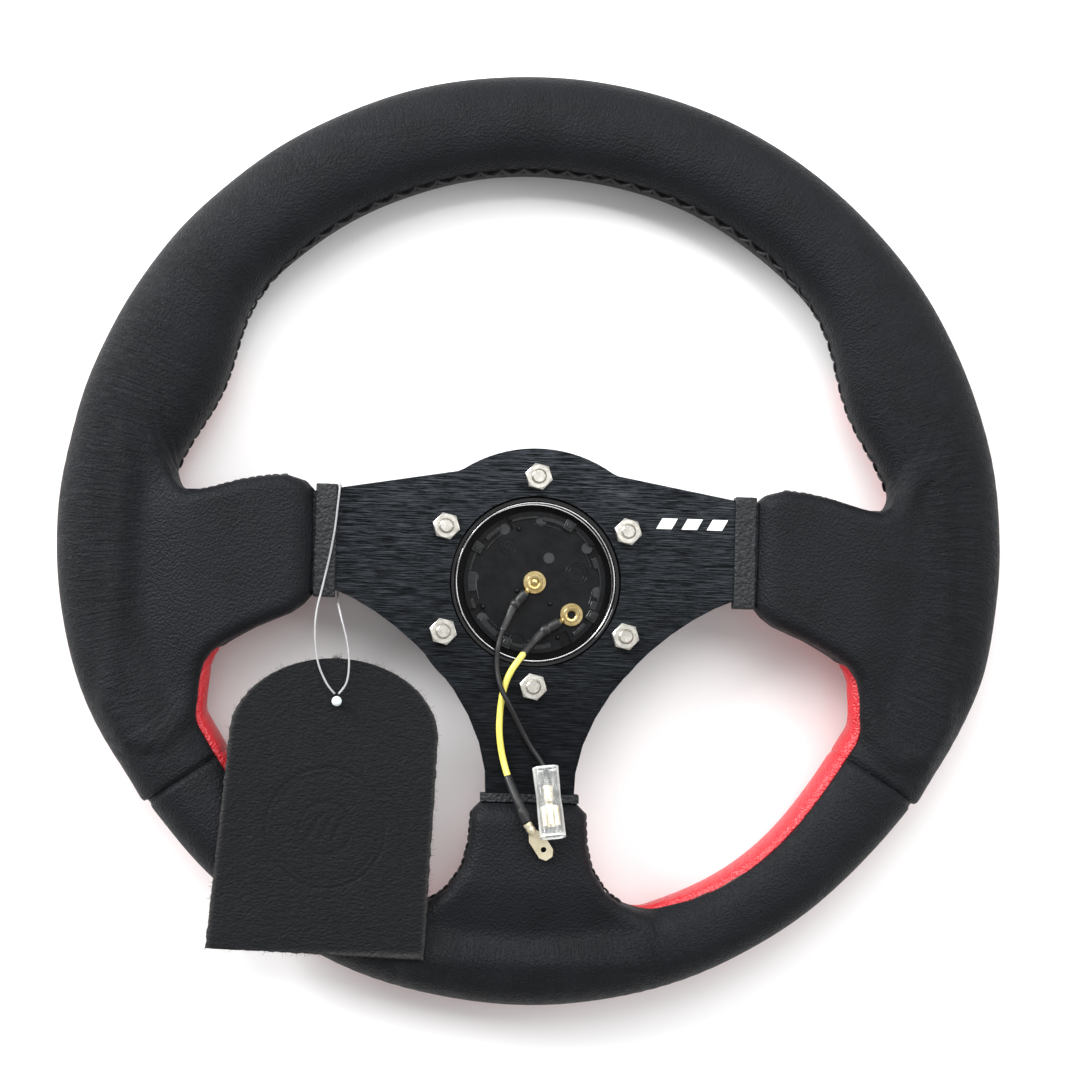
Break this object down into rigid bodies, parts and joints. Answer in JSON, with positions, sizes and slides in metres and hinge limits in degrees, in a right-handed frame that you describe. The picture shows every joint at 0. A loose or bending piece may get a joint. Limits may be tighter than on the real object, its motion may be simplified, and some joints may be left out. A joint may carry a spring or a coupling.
{
  "type": "steering wheel",
  "caption": "Three-spoke sport steering wheel with a leather rim, six-bolt plate, horn button and leads, lying on its front face.",
  "frame": {"origin": "centre of the six-bolt circle, on the rear mounting face of the spoke plate", "axes": "+Z out of the rear face towards the steering column, +Y to the 12 o'clock mark of the rim, +X to the right seen from the rear"},
  "size_m": [0.32, 0.3153, 0.0427],
  "materials": {
    "black_anodised_plate": "brushed and black anodised",
    "bare_aluminium": "mill finish",
    "rim_foam": "matt moulded foam",
    "black_leather": "fine grained, low sheen",
    "red_leather": "fine grained, low sheen",
    "black_thread": "waxed polyester thread",
    "grained_collar": "coarse pebble grain",
    "black_anodised_ring": "satin black anodised",
    "stainless_steel": "bright, lightly worn",
    "gloss_black_plastic": "polished",
    "black_plastic": "moulded, satin",
    "spring_steel": "drawn wire",
    "brass": "bright",
    "black_shrink": "heat-shrunk, satin",
    "black_insulation": "satin",
    "yellow_insulation": "satin",
    "tinned_brass": "tinned, dull",
    "clear_vinyl": "clear, slightly cloudy",
    "tag_leather": "embossed, raw edges",
    "clear_nylon": "translucent",
    "white_nylon": "translucent white"
  },
  "bodies": {
    "wheel": {"spoke_plate": "black_anodised_plate", "rim_core": "bare_aluminium", "spoke_rivets": "bare_aluminium", "rim_foam": "rim_foam", "upper_rear_leather": "black_leather", "lower_rear_leather": "black_leather", "upper_front_leather": "black_leather", "left_front_leather": "red_leather", "right_front_leather": "red_leather", "lower_front_leather": "red_leather", "rim_stitching": "black_thread", "left_boot": "black_leather", "right_boot": "black_leather", "bottom_boot": "black_leather", "left_collar": "grained_collar", "right_collar": "grained_collar", "bottom_collar": "grained_collar", "front_trim_ring": "black_anodised_ring", "mount_bolts": "stainless_steel", "mount_nuts": "stainless_steel", "horn_bezel": "gloss_black_plastic", "horn_housing": "black_plastic", "horn_spring": "spring_steel", "fixed_contact": "brass", "contact_rivets": "brass", "centre_lug": "brass", "offset_lug": "brass", "centre_lug_sleeve": "black_shrink", "offset_lug_sleeve": "black_shrink", "black_lead": "black_insulation", "yellow_lead": "yellow_insulation", "yellow_lead_upper_shrink": "black_shrink", "yellow_lead_lower_shrink": "black_shrink", "blade_receptacle": "tinned_brass", "receptacle_cover": "clear_vinyl", "blade_tab": "tinned_brass", "tag_loop": "clear_nylon"},
    "horn_button": {"horn_cap": "gloss_black_plastic", "moving_contact": "brass"},
    "hang_tag": {"tag_leather": "tag_leather", "tag_bead": "white_nylon"}
  },
  "joints": [
    {"name": "horn_press", "type": "slide", "parent": "wheel", "child": "horn_button", "axis": [0, 0, 1], "range_m": [0, 0.0018], "stiffness_N_per_m": 1500, "springref_m": -0.002, "deforming": ["horn_spring"]},
    {"name": "tag_flip", "type": "hinge", "parent": "wheel", "child": "hang_tag", "pos_m": [-0.0645, -0.0414, 0.00605], "axis": [-1, 0, 0], "range_deg": [0, 110]}
  ]
}
